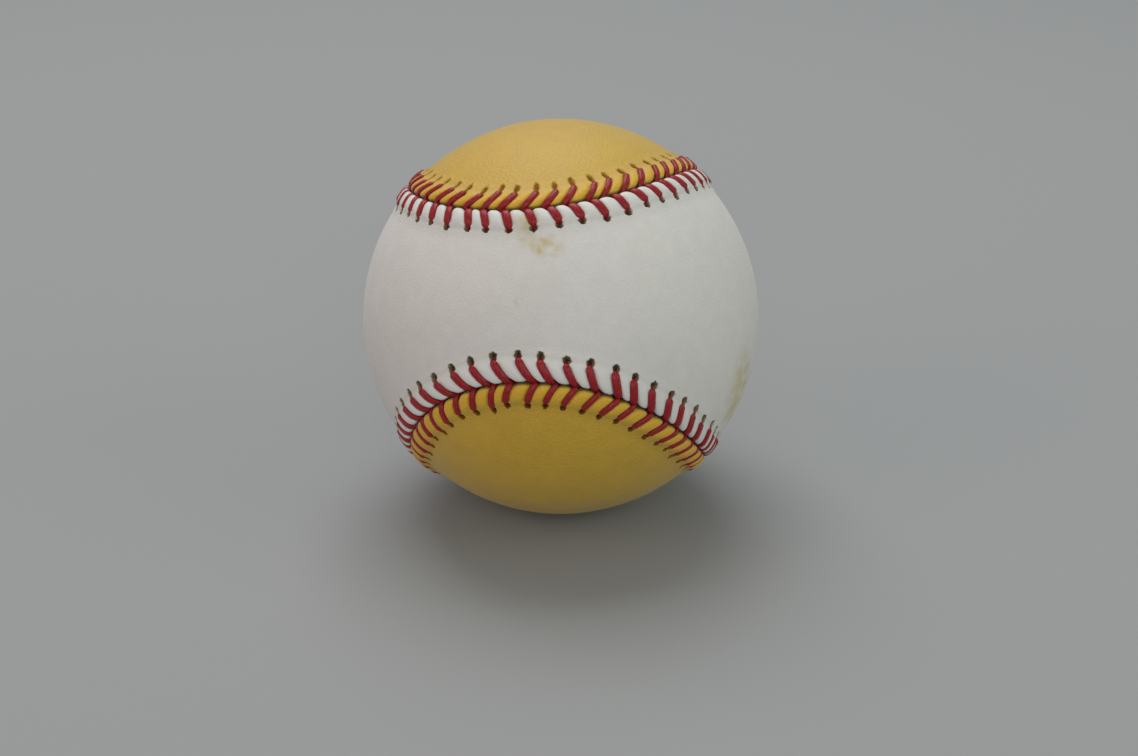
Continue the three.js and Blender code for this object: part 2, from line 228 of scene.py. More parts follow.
class Seam:
    """The closed curve between the covers, and where each stitch meets it.

    On the unit sphere, with base + wave = 1, the point at an angle is
    (base cos a - wave cos 3a, 2 sqrt(base wave) cos 2a, -base sin a - wave sin 3a).
    """

    def __init__(self, sizes):
        self.pairs = sizes.stitch_pairs
        self.wave = sizes.seam_wave
        self.angle = np.linspace(0, 2 * np.pi, SEAM_SAMPLES + 1)
        steps = np.linalg.norm(np.diff(self.curve(self.angle), axis=0), axis=1)
        length = np.concatenate([[0], np.cumsum(steps)])
        self.station = length / length[-1] * self.pairs
        self.pitch = length[-1] * BALL_RADIUS / self.pairs
        self.stitches = {side: self.sew(side) for side in (WHITE, GOLD)}

    def curve(self, angle):
        base = 1 - self.wave
        x = base * np.cos(angle) - self.wave * np.cos(3 * angle)
        y = 2 * math.sqrt(base * self.wave) * np.cos(2 * angle)
        z = -base * np.sin(angle) - self.wave * np.sin(3 * angle)
        return np.stack([x, y, z], -1)

    def slope(self, angle):
        """The curve's derivative by its angle."""
        base = 1 - self.wave
        x = -base * np.sin(angle) + 3 * self.wave * np.sin(3 * angle)
        y = -4 * math.sqrt(base * self.wave) * np.sin(2 * angle)
        z = -base * np.cos(angle) - 3 * self.wave * np.cos(3 * angle)
        return np.stack([x, y, z], -1)

    def frame_at(self, station):
        """Out of the ball, along the seam, and across it into the white cover, at each station."""
        angle = np.interp(station % self.pairs, self.station, self.angle)
        out = self.curve(angle)
        along = unit(self.slope(angle))
        return out, along, np.cross(along, out)

    def point(self, station, signed_distance, height):
        """A point turned from the seam about the ball's centre, and raised."""
        out, _, across = self.frame_at(station)
        turn = (signed_distance / BALL_RADIUS)[..., None]
        return (out * np.cos(turn) + across * np.sin(turn)) * (BALL_RADIUS + height)[..., None]

    def stretch(self, station, signed_distance):
        """Metres for one pitch of station, at a distance from the seam."""
        level = np.zeros_like(signed_distance)
        ahead = self.point(station + STRETCH_STEP, signed_distance, level)
        behind = self.point(station - STRETCH_STEP, signed_distance, level)
        return np.linalg.norm(ahead - behind, axis=-1) / (2 * STRETCH_STEP)

    def swing(self, stations, drift):
        """A value that drifts round the seam from its middle value and its change at the top."""
        middle, change = drift
        return middle + change * np.cos(2 * np.pi * (stations - TOP_SEAM) / self.pairs)

    def sew(self, side):
        """Each stitch's values on one cover. Its mouth is where the leg comes out of the hole."""
        rng = np.random.default_rng(HAND_SEED + side)
        index = np.arange(self.pairs)
        trend = self.swing(index, HOLE_SETBACK[side]) * MM
        setback = trend + rng.normal(0, SETBACK_ERROR, self.pairs) * MM
        length = self.swing(index, HOLE_LENGTH[side]) * MM * rng.normal(1, LENGTH_ERROR, self.pairs)
        return {
            "shift": self.swing(index, HOLE_PHASE[side]) + rng.normal(0, PHASE_ERROR, self.pairs),
            "lean": self.swing(index, STITCH_LEAN[side]) + rng.normal(0, LEAN_ERROR, self.pairs),
            "setback": setback,
            "trend": trend,
            "length": length,
            "open": self.swing(index, HOLE_DEPTH_AND_SHADE[side]),
            "mouth": setback - MOUTH_SHARE * length,
            "plump": self.swing(index, PUFF_SHARE[side]) * rng.normal(1, PUFF_ERROR, self.pairs),
            "broad": LEG_WIDTH_SHARE[side] * rng.normal(1, WIDTH_ERROR, self.pairs),
            "tear": rng.uniform(-1, 1, (self.pairs, TEAR_WAVES)),
        }

    def at(self, side, name, index):
        """A value of the stitches at real indices, straight between two of them."""
        values = self.stitches[side][name]
        low = np.floor(index).astype(int)
        share = index - low
        return values[low % self.pairs] * (1 - share) + values[(low + 1) % self.pairs] * share

    def hole_station(self, side, index):
        """Where a stitch's hole is along the seam."""
        return index + self.at(side, "shift", index)

    def leg_station(self, side, index, share):
        """Where a stitch is, a share of the way from its hole to the slit."""
        lean = self.at(side, "lean", index)
        return self.hole_station(side, index) - lean * np.clip(share, 0, 1) ** LEG_BEND

    def index_at(self, side, station, distance):
        """The real index whose leg passes a place: leg_station, solved by corrections."""
        index = station
        for _ in range(LEG_CORRECTIONS):
            share = 1 - distance / self.at(side, "mouth", index)
            index = index + station - self.leg_station(side, index, share)
        return index


# The relief of the leather

# The ball's unevenness: how many waves, their lengths and each one's height in millimetres
ROUGH_SEED = 4
ROUGH_WAVES = 14
ROUGH_LENGTHS = (9, 34)
ROUGH_HEIGHT = 0.011

# Where a groove, a leg's bed and a puff start or end, in shares of the way from the slit to the mouth, and
# a puff's flank in half thread widths
GROOVE_END = (0.78, 1.02)
BED_END = (0.8, 1.05)
PUFF_START = (-0.35, 0.12)
PUFF_END = (0.7, 1.25)
PUFF_FLANK = (0.7, 1.9)
PULL_POWER = 1.5

# The faint crease from hole to hole, and its share of the painted shade in the grooves
CREASE_WIDTH = 0.42 * MM
CREASE_DEPTH = 0.04 * MM
CREASE_SHADE_SHARE = 0.3

# Where the margin's painted highlight ends, in shares of the way from the slit to the holes
MARGIN_HIGHLIGHT_FADE = (0.3, 1.1)

# A hole in shares of its half size: its wall, its lip, how ragged it is, and where its torn look and
# painted shade end
HOLE_WALL = (0.72, 1.06)
LIP_REACH = 1.25
LIP_WIDTH = 0.22
LIP_HEIGHT = 0.05 * MM
RAGGED = 0.07
TEAR_TWIST = 7
HOLE_FADE = 1.3


def smooth(low, high, x):
    """0 below low, 1 above high, and an S-curve between."""
    t = np.clip((x - low) / (high - low), 0, 1)
    return t * t * (3 - 2 * t)


def unevenness(points):
    """A hand-made ball's unevenness: long sine waves through space, up to about 0.05 mm."""
    rng = np.random.default_rng(ROUGH_SEED)
    directions = unit(rng.normal(0, 1, (ROUGH_WAVES, 3)))
    lengths = rng.uniform(*ROUGH_LENGTHS, ROUGH_WAVES) * MM
    phases = rng.uniform(0, 2 * np.pi, ROUGH_WAVES)
    waves = np.sin(points @ (directions / lengths[:, None] * 2 * np.pi).T + phases)
    return waves.sum(-1) * ROUGH_HEIGHT * MM


def settle(points):
    """Points of the ball's own frame, made uneven and turned as the ball lies."""
    return (points + unit(points) * unevenness(points)[..., None]) @ cradle()


def ridge(sizes, distance):
    """The margin's height: a quarter ellipse up to its crest, then half a cosine down."""
    edge = sizes.slit / 2
    rise = np.clip((sizes.crest_setback - distance) / (sizes.crest_setback - edge), 0, 1)
    roll = sizes.edge_roll * (1 - np.sqrt(1 - rise**2))
    fall = np.clip((distance - sizes.crest_setback) / (sizes.margin - sizes.crest_setback), 0, 1)
    return sizes.seam_rise * (0.5 + 0.5 * np.cos(np.pi * fall)) - roll


def stitch_relief(sizes, seam, side, index, along, distance):
    """Heights between the slit and the holes, and where painted shade darkens the grooves and the crease.

    A groove under each stitch, exp(-(distance from it / half thread width)^4), a puff between two stitches,
    and a crease from hole to hole.
    """
    made = seam.stitches[side]
    stitch = np.round(index).astype(int) % seam.pairs
    mouth = seam.at(side, "mouth", index)
    share = distance / mouth
    lean = np.arctan(made["lean"][stitch] * seam.pitch / mouth)
    off_leg = np.abs(along) * np.cos(lean) / (sizes.thread_width * made["broad"][stitch] / 2)
    groove = np.exp(-(off_leg**4)) * (1 - smooth(*GROOVE_END, share))
    puff = smooth(*PUFF_FLANK, off_leg) * (1 - smooth(*PUFF_END, share)) * smooth(*PUFF_START, share)
    plump = seam.at(side, "plump", np.floor(index) + 0.5)
    off_crease = (distance - seam.at(side, "setback", index)) / CREASE_WIDTH
    crease = np.exp(-(off_crease**2))
    height = sizes.puff * plump * puff - sizes.groove * groove - CREASE_DEPTH * crease
    return height, np.clip(CREASE_SHADE_SHARE * crease + groove, 0, 1)


def hole_relief(sizes, seam, side, index, along, distance):
    """Heights at the holes, elliptic pits with wavy rims, and how torn the leather is, which also sets the
    painted shade in a hole's depth.
    """
    made = seam.stitches[side]
    stitch = np.round(index).astype(int) % seam.pairs
    x = along / (sizes.hole_width * HOLE_WIDTH_SHARE[side] / 2)
    y = (distance - seam.at(side, "setback", index)) / (made["length"][stitch] / 2)
    around = np.arctan2(y, x)
    tear = made["tear"][stitch]
    rag = 0
    for wave in range(TEAR_WAVES):
        phase = TEAR_TWIST * tear[..., (wave + 1) % TEAR_WAVES]
        rag = rag + tear[..., wave] * np.cos((wave + 2) * around + phase)
    reach = np.hypot(x, y) * (1 + RAGGED * rag)
    lip = np.exp(-(((reach - LIP_REACH) / LIP_WIDTH) ** 2))
    # The opening also sets how dark the painted shade in the hole is.
    opened = made["open"][stitch]
    height = LIP_HEIGHT * lip - sizes.hole_depth * (1 - smooth(*HOLE_WALL, reach)) * opened
    return height, np.clip(1 - reach / HOLE_FADE, 0, 1) * opened


def margin_relief(sizes, seam, side, station, distance):
    """Height, how much a stitch pulls the leather, and the marks that its material reads."""
    index = seam.index_at(side, station, distance)
    off_stitch = index - np.round(index)
    along = off_stitch * seam.stretch(station, side * distance)
    laced, groove_shade = stitch_relief(sizes, seam, side, index, along, distance)
    pierced, hole = hole_relief(sizes, seam, side, index, along, distance)
    pull = (0.5 + 0.5 * np.cos(2 * np.pi * off_stitch)) ** PULL_POWER
    setback = seam.at(side, "setback", index)
    # Marks for the material: painted shade in the holes, painted shade in the grooves and crease, and a
    # painted highlight along the margin.
    marks = {"hole": hole, "crease": groove_shade, "margin": 1 - smooth(*MARGIN_HIGHLIGHT_FADE, distance / setback)}
    return ridge(sizes, distance) + laced + pierced, pull, marks


# Meshes


class Weave:
    """Gathers rings of points that close round the seam, and the faces between them."""

    def __init__(self, turned):
        self.turned = turned
        self.points = []
        self.marks = {"hole": [], "crease": [], "margin": [], "edge": []}
        self.quads = []
        self.triangles = []
        self.count = 0

    def flip(self):
        """Turns the faces that follow the other way round."""
        self.turned = not self.turned

    def ring(self, points, **marks):
        """Adds points with their marks and returns their numbers."""
        first = self.count
        self.points.append(points)
        self.count += len(points)
        for name, values in self.marks.items():
            values.append(np.broadcast_to(marks.get(name, 0.0), len(points)))
        return np.arange(first, self.count)

    def keep(self, *corners):
        """Adds faces, each with one point from every array."""
        faces = np.stack(corners, 1)
        faces = faces[:, ::-1] if self.turned else faces
        (self.quads if len(corners) == 4 else self.triangles).append(faces)

    def bridge(self, a, b):
        """Quads from ring a to ring b of as many points."""
        self.keep(a, b, np.roll(b, -1), np.roll(a, -1))

    def halve(self, a, b):
        """Triangles from ring a to ring b of half as many points."""
        even, odd = a[::2], a[1::2]
        following = np.roll(b, -1)
        self.keep(even, b, odd)
        self.keep(odd, b, following)
        self.keep(odd, following, np.roll(even, -1))

    def close(self, a, hubs):
        """Faces from ring a to the spine, and fans at its ends."""
        after, following = np.roll(a, -1), np.roll(hubs, -1)
        fanned = hubs == following
        self.keep(a[fanned], hubs[fanned], after[fanned])
        self.keep(a[~fanned], hubs[~fanned], following[~fanned], after[~fanned])


def ring_quads(rings, sides):
    """Numbers of points in rings, the same turned by one, and quads between the rings."""
    numbers = np.arange(rings * sides).reshape(rings, sides)
    turned = np.roll(numbers, -1, axis=1)
    quads = np.stack([numbers[:-1], numbers[1:], turned[1:], turned[:-1]], -1)
    return numbers, turned, quads.reshape(-1, 4)


def fan(hub, a, b):
    """Triangles from one point to each pair of neighbours."""
    return np.stack([np.full(len(a), hub), a, b], 1)


def add_object(name, data):
    """A new object in the scene."""
    made = bpy.data.objects.new(name, data)
    bpy.context.scene.collection.objects.link(made)
    return made


def build_mesh(name, points, quads, triangles, marks=None):
    """A smooth object at the origin from points and faces, with each mark as an attribute."""
    mesh = bpy.data.meshes.new(name)
    loops = np.concatenate([np.ravel(quads), np.ravel(triangles)]).astype(np.int32)
    sizes = np.concatenate([np.full(len(quads), 4), np.full(len(triangles), 3)])
    mesh.vertices.add(len(points))
    mesh.vertices.foreach_set("co", np.ravel(points).astype(np.float32))
    mesh.loops.add(len(loops))
    mesh.loops.foreach_set("vertex_index", loops)
    mesh.polygons.add(len(sizes))
    starts = np.concatenate([[0], np.cumsum(sizes)[:-1]]).astype(np.int32)
    mesh.polygons.foreach_set("loop_start", starts)
    mesh.update(calc_edges=True)
    mesh.polygons.foreach_set("use_smooth", np.ones(len(sizes), dtype=bool))
    for mark, values in (marks or {}).items():
        attribute = mesh.attributes.new(mark, "FLOAT", "POINT")
        attribute.data.foreach_set("value", np.asarray(values, dtype=np.float32))
    mesh.validate()
    return add_object(name, mesh)


def place(piece, material, slot, *nodes):
    """Gives a piece its material and body, and lets it stand for CAD nodes; its slot is not used."""
    piece.data.materials.append(material)
    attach(piece, ROOT)
    if nodes:
        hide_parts(*nodes)


# The covers

COLUMNS_PER_PITCH = 16
CROWD_AT_HOLES = 0.055

# The margin's rows, as shares of the way to the holes: how many up the cut edge and over its roll, then the
# ends and counts of those up to the holes, over them and beyond, and what the way is taken as
WALL_ROWS = 3
ROLL_ROWS = 8
ROW_ENDS = (0.76, 1.26, 1.5)
ROW_COUNTS = (9, 15, 4)
ROW_UNIT = 4.4 * MM

# The rows where the cut edge's painted shade fades, stitches pull, and each hole's own setback gives way to
# the even one, and how much pulled leather sinks
CUT_SHADE_ROWS = (0.02, 0.1)
PULLED_ROWS = (0.0, 0.35)
EVEN_ROWS = (1.2, 1.45)
PULL_DROP = 0.3

# The rows beyond, which halve the columns, those under them, the lining's first row, and the depth of the
# cut edge
OVER_ROWS = (1.62, 1.76, 1.92)
UNDER_ROWS = (0.26, 0.46, 0.66)
LINING_ROW = 1.5
CUT_DEPTH = 0.9 * MM

# The smooth field: its rings, the lining's, the share of columns that fan round half a lobe's end, and the
# angle in degrees from the waist to a lobe's middle
FIELD_STEPS = 15
LINING_STEPS = 7
FAN_SHARE = 1 / 8
LOBE_ANGLE = 100


def margin_rows(sizes):
    """The margin's rows: at even angles round the roll, then close together at the holes."""
    edge = sizes.slit / 2
    angles = np.linspace(0, np.pi / 2, ROLL_ROWS)
    parts = [(edge + (sizes.crest_setback - edge) * (1 - np.cos(angles))) / ROW_UNIT]
    for end, count in zip(ROW_ENDS, ROW_COUNTS, strict=True):
        parts.append(np.linspace(parts[-1][-1], end, count + 1)[1:])
    return np.concatenate(parts)


def hubs_on_spine(side, columns):
    """Each column's place on the spine, which those round a lobe's end share, and the last place."""
    lobe_end = 0 if side == WHITE else columns // 4
    half = columns // 2
    from_end = np.abs((np.arange(columns) - lobe_end + half) % columns - half)
    fanned = int(columns * FAN_SHARE)
    last = half - 2 * fanned
    return np.clip(from_end - fanned, 0, last), last


def spine_points(side, count):
    """Unit vectors from one lobe's middle over the waist to the other's."""
    angle = np.radians(np.linspace(LOBE_ANGLE, -LOBE_ANGLE, count))
    zero = np.zeros(count)
    if side == WHITE:
        return np.stack([np.sin(angle), -np.cos(angle), zero], 1)
    return np.stack([zero, np.cos(angle), -np.sin(angle)], 1)


def add_field(weave, side, rim, rim_points, radius, steps):
    """The smooth field inside the margin: great circles from the rim to the spine."""
    hub_of, last = hubs_on_spine(side, len(rim))
    spine = spine_points(side, last + 1)
    start = unit(rim_points)
    end = spine[hub_of]
    spread = np.arccos(np.clip((start * end).sum(1), -1, 1))[:, None]
    before = rim
    for step in range(1, steps):
        share = step / steps
        arc = start * np.sin((1 - share) * spread) + end * np.sin(share * spread)
        following = weave.ring(arc / np.sin(spread) * radius)
        weave.bridge(before, following)
        before = following
    weave.close(before, weave.ring(spine * radius)[hub_of])


def laced_rings(sizes, seam, side, station, index):
    """Distance, height and marks of each ring up the cut edge and over the laced margin."""
    setback = seam.at(side, "setback", index)
    trend = seam.at(side, "trend", index)
    rings = []
    for row in margin_rows(sizes):
        evened = smooth(*EVEN_ROWS, row)
        distance = row * (setback * (1 - evened) + trend * evened)
        height, pull, marks = margin_relief(sizes, seam, side, station, distance)
        pull = sizes.scallop * pull * (1 - smooth(*PULLED_ROWS, row))
        # The edge mark paints shade: the cut edge in the slit turns to the leather's colour at 0.4.
        marks["edge"] = 1 - smooth(*CUT_SHADE_ROWS, row)
        rings.append((distance + pull, height - PULL_DROP * pull, marks))
    distance, top, _ = rings[0]
    shares = np.arange(WALL_ROWS) / WALL_ROWS
    # The cut face down into the slit takes the full painted shade.
    wall = [(distance, top * share - CUT_DEPTH * (1 - share), {"edge": 1.0}) for share in shares]
    return wall + rings


def cover_surface(sizes, seam, side):
    """One cover as a closed shell of rings along the seam: up over the leather, and back below.

    The points of a ring crowd at the holes: index = turn - crowd sin(2 pi turn).
    """
    weave = Weave(side == GOLD)
    turn = np.arange(seam.pairs * COLUMNS_PER_PITCH) / COLUMNS_PER_PITCH
    index = turn - CROWD_AT_HOLES * np.sin(2 * np.pi * turn)
    station = seam.hole_station(side, index)
    rings = [
        weave.ring(seam.point(station, side * distance, height), **marks)
        for distance, height, marks in laced_rings(sizes, seam, side, station, index)
    ]
    for before, following in zip(rings, rings[1:]):
        weave.bridge(before, following)
    under, over = rings[0], rings[-1]
    trend = seam.at(side, "trend", index)
    for over_row, under_row in zip(OVER_ROWS, UNDER_ROWS, strict=True):
        station = station[::2]
        trend = trend[::2]
        distance = trend * over_row
        rim_points = seam.point(station, side * distance, ridge(sizes, distance))
        rim = weave.ring(rim_points)
        weave.halve(over, rim)
        over = rim
        distance = trend * under_row
        depth = CUT_DEPTH + (sizes.leather - CUT_DEPTH) * np.clip(distance / sizes.margin, 0, 1)
        # The underside also takes the painted shade of the cut edge.
        inner = weave.ring(seam.point(station, side * distance, -depth), edge=1.0)
        weave.flip()
        weave.halve(under, inner)
        weave.flip()
        under = inner
    add_field(weave, side, over, rim_points, BALL_RADIUS, FIELD_STEPS)
    weave.flip()
    rim_points = seam.point(station, side * trend * LINING_ROW, np.full(len(station), -sizes.leather))
    rim = weave.ring(rim_points)
    weave.bridge(under, rim)
    add_field(weave, side, rim, rim_points, BALL_RADIUS - sizes.leather, LINING_STEPS)
    marks = {name: np.concatenate(values) for name, values in weave.marks.items()}
    points, *faces = (np.concatenate(parts) for parts in (weave.points, weave.quads, weave.triangles))
    return settle(points), *faces, marks


# Old spots on the white leather, and an olive band along its right rim: middle and half sizes in pixels of
# the photograph, and strength
STAINS = {
    "under the top stitches": (527, 226, 15, 19, 0.8),
    "below that one": (548, 247, 17, 11, 1.0),
    "down the right side": (739, 396, 8, 46, 1.0),
    "a dot in the middle": (517, 305, 3, 6, 0.4),
}

# How deep a spot goes, the width of its blotches, and how far they push its rim about
STAIN_DEPTH = 6 * MM
STAIN_BLOTCH = 2.2 * MM
STAIN_RAG = 4 * MM


def on_ball(x, y):
    """The point of the ball that shows at a pixel, or that is nearest to it."""
    ray = ray_through(x, y)
    start = camera_place()
    nearest = -start @ ray
    aside = start @ start - nearest**2
    return unit(start + ray * (nearest - math.sqrt(max(BALL_RADIUS**2 - aside, 0)))) * BALL_RADIUS


def stain_place(x, y, wide, tall):
    """A stain's middle, its turn, and its half sizes across, along and through the leather."""
    middle = Vector(on_ball(x, y))
    across = Vector(on_ball(x + wide, y) - on_ball(x - wide, y)) / 2
    along = Vector(on_ball(x, y + tall) - on_ball(x, y - tall)) / 2
    upright = along.normalized()
    sideways = upright.cross(middle.normalized()).normalized()
    turn = Matrix((sideways, upright, sideways.cross(upright))).transposed().to_euler()
    return middle, turn, (across.length, along.length, STAIN_DEPTH)


# Materials

# The leather's patterns: pebbles and pores of the grain, clouds, mottles of wear, and torn fibres of
# 0.1 mm, drawn three times as thick to show
PEBBLE = 0.38 * MM
PORE = 0.4 * MM
CLOUD = 22 * MM
MOTTLE = 2.8 * MM
TORN_FIBRE = 0.3 * MM

# The wave texture's own period at a scale of 1, and the thread's patterns: plies, and strands of 0.05 mm,
# drawn six times as wide to show
WAVE_PERIOD = math.pi / 10
PLY_WIDTH = 0.42 * MM
STRAND_WIDTH = 0.3 * MM
PLY_SLANT = math.radians(13)

# The core's patterns: cork granules, powder and skin of moulded rubber, the yarns, and the three ways in
# which a yarn crosses the ball
GRANULE = 1.6 * MM
POWDER = 3 * MM
RUBBER_SKIN = 0.3 * MM
FOUR_PLY = 1.3 * MM
THREE_PLY = 1.1 * MM
FINE_YARN = 0.5 * MM
YARN_TURNS = ((0.3, 0.2, 0.0), (1.4, 0.1, 0.9), (0.5, 1.3, 2.0))


def add_node(tree, kind, inputs=None, **settings):
    """Adds a node with its settings. An input takes a value, a socket, or a node's first output."""
    made = tree.nodes.new("ShaderNode" + kind)
    for name, value in settings.items():
        setattr(made, name, value)
    for socket, value in (inputs or {}).items():
        if isinstance(value, bpy.types.Node):
            value = next(output for output in value.outputs if output.enabled)
        if isinstance(value, bpy.types.NodeSocket):
            tree.links.new(value, made.inputs[socket])
        else:
            made.inputs[socket].default_value = value
    return made


def new_material(name):
    """A material, the function that adds its nodes, and the place that its patterns read."""
    material = bpy.data.materials.new(name)
    material.use_nodes = True
    material.node_tree.nodes.clear()
    add = partial(add_node, material.node_tree)
    return material, add, add("TexCoord").outputs["Object"]


def shade(colour, factor=1.0):
    """A colour darker or lighter by a factor, with full alpha."""
    return (*(min(1.0, c * factor) for c in colour), 1.0)


def highest(add, values):
    """The highest of some values."""
    return reduce(lambda a, b: add("Math", {0: a, 1: b}, operation="MAXIMUM"), values)


def spot_share(add, coords, x, y, wide, tall, strength):
    """How far one spot has soaked in: its strength in the middle, and nothing past its rim."""
    middle, turn, half_sizes = stain_place(x, y, wide, tall)
    spot_frame = {"Vector": coords, "Location": middle, "Rotation": turn, "Scale": half_sizes}
    spot = add("Mapping", spot_frame, vector_type="TEXTURE")
    reach = add("VectorMath", {0: spot}, operation="LENGTH")
    ramp = {"Value": reach, "From Min": 1.3, "From Max": 0.4, "To Max": strength}
    return add("MapRange", ramp, interpolation_type="SMOOTHSTEP")


def stained_share(add, coords):
    """How stained the leather is: the strongest of the spots, blotched and with ragged rims."""
    blotch = add("TexNoise", {"Vector": coords, "Scale": 1 / STAIN_BLOTCH, "Detail": 4.0})
    push = {0: blotch.outputs["Color"], 1: (STAIN_RAG,) * 3, 2: coords}
    pushed = add("VectorMath", push, operation="MULTIPLY_ADD")
    centred = add("VectorMath", {0: pushed, 1: (STAIN_RAG / 2,) * 3}, operation="SUBTRACT")
    strongest = highest(add, [spot_share(add, centred, *stain) for stain in STAINS.values()])
    uneven = add("MapRange", {"Value": blotch, "From Min": 0.3, "From Max": 0.65})
    return add("Math", {0: strongest, 1: uneven}, operation="MULTIPLY")


def marked(add, surface, mark, strength, colour):
    """A surface colour with another mixed in, up to a strength, where the mesh is marked."""
    amount = add("Attribute", attribute_name=mark).outputs["Fac"]
    share = add("Math", {0: amount, 1: strength}, operation="MULTIPLY")
    return add("Mix", {0: share, 6: surface, 7: colour}, data_type="RGBA")


def torn_leather_and_hole_shade(add, coords, hole):
    """How torn the leather is, and the colour of its fibres with painted shade, darker towards a hole's
    depth.
    """
    torn = add("Attribute", attribute_name="hole").outputs["Fac"]
    fibres = add("TexNoise", {"Vector": coords, "Scale": 1 / TORN_FIBRE, "Detail": 2.0})
    ragged = add("Math", {0: fibres, 1: 0.3, 2: torn}, operation="MULTIPLY_ADD")
    rim = {"Value": ragged, "From Min": 0.22, "From Max": 0.44}
    bite = add("MapRange", rim, interpolation_type="SMOOTHSTEP")
    depth = add("Math", {0: fibres, 1: 0.8, 2: torn}, operation="MULTIPLY_ADD")
    shadow = add("MapRange", {"Value": depth, "From Min": 0.45, "From Max": 1.15})
    return bite, add("Mix", {0: shadow, 6: shade(hole, 1.5), 7: shade(hole, 0.2)}, data_type="RGBA")


def leather_material(name, colour, margin, hole, dye, mottling, coat, depth, stain=None):
    """Plated cowhide: a fine grain, soft clouds of tone, a painted highlight along the margin, painted
    shade in the grooves, the slit's cut edge and the holes, and bare torn fibres.
    """
    material, add, coords = new_material(name)
    pebble = add("TexVoronoi", {"Vector": coords, "Scale": 1 / PEBBLE}, feature="SMOOTH_F1")
    pores = add("TexNoise", {"Vector": coords, "Scale": 1 / PORE, "Detail": 5.0})
    grain = add("Math", {0: pebble, 1: pores}, operation="ADD")
    cloud = add("TexNoise", {"Vector": coords, "Scale": 1 / CLOUD, "Detail": 4.0})
    mottle = add("TexNoise", {"Vector": coords, "Scale": 1 / MOTTLE, "Detail": 3.0})
    clouded = add("Math", {0: grain, 1: 0.6, 2: cloud}, operation="MULTIPLY_ADD")
    tone = add("Math", {0: clouded, 1: mottle}, operation="ADD")
    toned = add("MapRange", {"Value": tone, "From Min": 1.1, "From Max": 2.0})
    ends = {6: shade(colour, 1 - mottling), 7: shade(colour, 1 + mottling)}
    surface = add("Mix", {0: toned, **ends}, data_type="RGBA")
    # Painted highlight: the margin colour mixed in along the slit.
    surface = marked(add, surface, "margin", 0.55, shade(margin))
    if stain is not None:
        soaked = stained_share(add, coords)
        surface = add("Mix", {0: soaked, 6: surface, 7: shade(stain)}, data_type="RGBA")
    # Painted shade: a darker tint in the grooves under the thread and along the crease, on gold mixed with
    # bled dye.
    surface = marked(add, surface, "crease", 0.3, shade(dye))
    # Painted shade: the cut edge in the slit is the leather's colour darkened to 0.4.
    surface = marked(add, surface, "edge", 1.0, shade(colour, 0.4))
    # Painted shade: the torn fibres darken towards the depth of a hole.
    bite, fibres = torn_leather_and_hole_shade(add, coords, hole)
    surface = add("Mix", {0: bite, 6: surface, 7: fibres}, data_type="RGBA")
    bump = add("Bump", {"Height": grain, "Strength": 0.6, "Distance": depth})
    satin = add("MapRange", {"Value": mottle, "To Min": 0.46, "To Max": 0.6})
    shader = {
        "Base Color": surface,
        "Roughness": add("Math", {0: bite, 1: 0.4, 2: satin}, operation="MULTIPLY_ADD"),
        "Specular IOR Level": add("MapRange", {"Value": bite, "To Min": 0.5, "To Max": 0.05}),
        "Normal": bump,
        "Coat Weight": add("MapRange", {"Value": bite, "To Min": coat, "To Max": 0.0}),
        "Coat Roughness": 0.7,
        "Coat Normal": bump,
        "Sheen Weight": 0.12,
        "Sheen Roughness": 0.5,
    }
    add("OutputMaterial", {"Surface": add("BsdfPrincipled", shader)})
    return material


def white_leather_material(colours):
    """Alum-tanned, plated cowhide: satin white, barely mottled, finely grained, with old spots."""
    # The hole colour also serves as the painted shade in the white cover's grooves.
    tones = (colours.white_leather, colours.white_margin_highlight, colours.white_hole, colours.white_hole)
    return leather_material(
        "white cowhide", *tones, mottling=0.05, coat=0.0, depth=0.06 * MM, stain=colours.stain
    )


def gold_leather_material(colours):
    """Dyed, plated and sprayed cowhide: satin gold in soft clouds, open-grained, with bled dye and painted
    shade in its grooves.
    """
    tones = (colours.gold_leather, colours.gold_margin_highlight, colours.gold_hole, colours.bleed_and_groove_shade)
    return leather_material("gold cowhide", *tones, mottling=0.08, coat=0.2, depth=0.15 * MM)


def thread_material(name, colour):
    """Waxed cotton thread of several twisted plies, pressed flat: a low sheen and slanting plies."""
    material, add, _ = new_material(name)
    lay = add("UVMap", uv_map="lay")
    slant = add("Mapping", {"Vector": lay, "Rotation": (0, 0, PLY_SLANT)})
    twist = {"Vector": slant, "Scale": WAVE_PERIOD / PLY_WIDTH, "Distortion": 3.0, "Detail": 3.0}
    plies = add("TexWave", twist, bands_direction="Y").outputs["Fac"]
    drawn = add("Mapping", {"Vector": slant, "Scale": (0.4, 1.6, 1)})
    strands = add("TexNoise", {"Vector": drawn, "Scale": 1 / STRAND_WIDTH, "Detail": 4.0})
    mixed = add("Math", {0: plies, 1: 0.22, 2: strands}, operation="MULTIPLY_ADD")
    # The tint runs from 0.45 to 1.35 of the colour: the plies' own tone, with painted glints of wax at its
    # light end.
    tint = add("ValToRGB", {"Fac": mixed})
    for stop, position, factor in zip(tint.color_ramp.elements, (0.4, 0.8), (0.45, 1.35), strict=True):
        stop.position = position
        stop.color = shade(colour, factor)
    shader = {
        "Base Color": tint,
        "Roughness": 0.33,
        "Specular IOR Level": 0.3,
        "Sheen Weight": 0.02,
        "Sheen Roughness": 0.4,
        "Normal": add("Bump", {"Height": mixed, "Strength": 0.6, "Distance": 0.1 * MM}),
    }
    add("OutputMaterial", {"Surface": add("BsdfPrincipled", shader)})
    return material


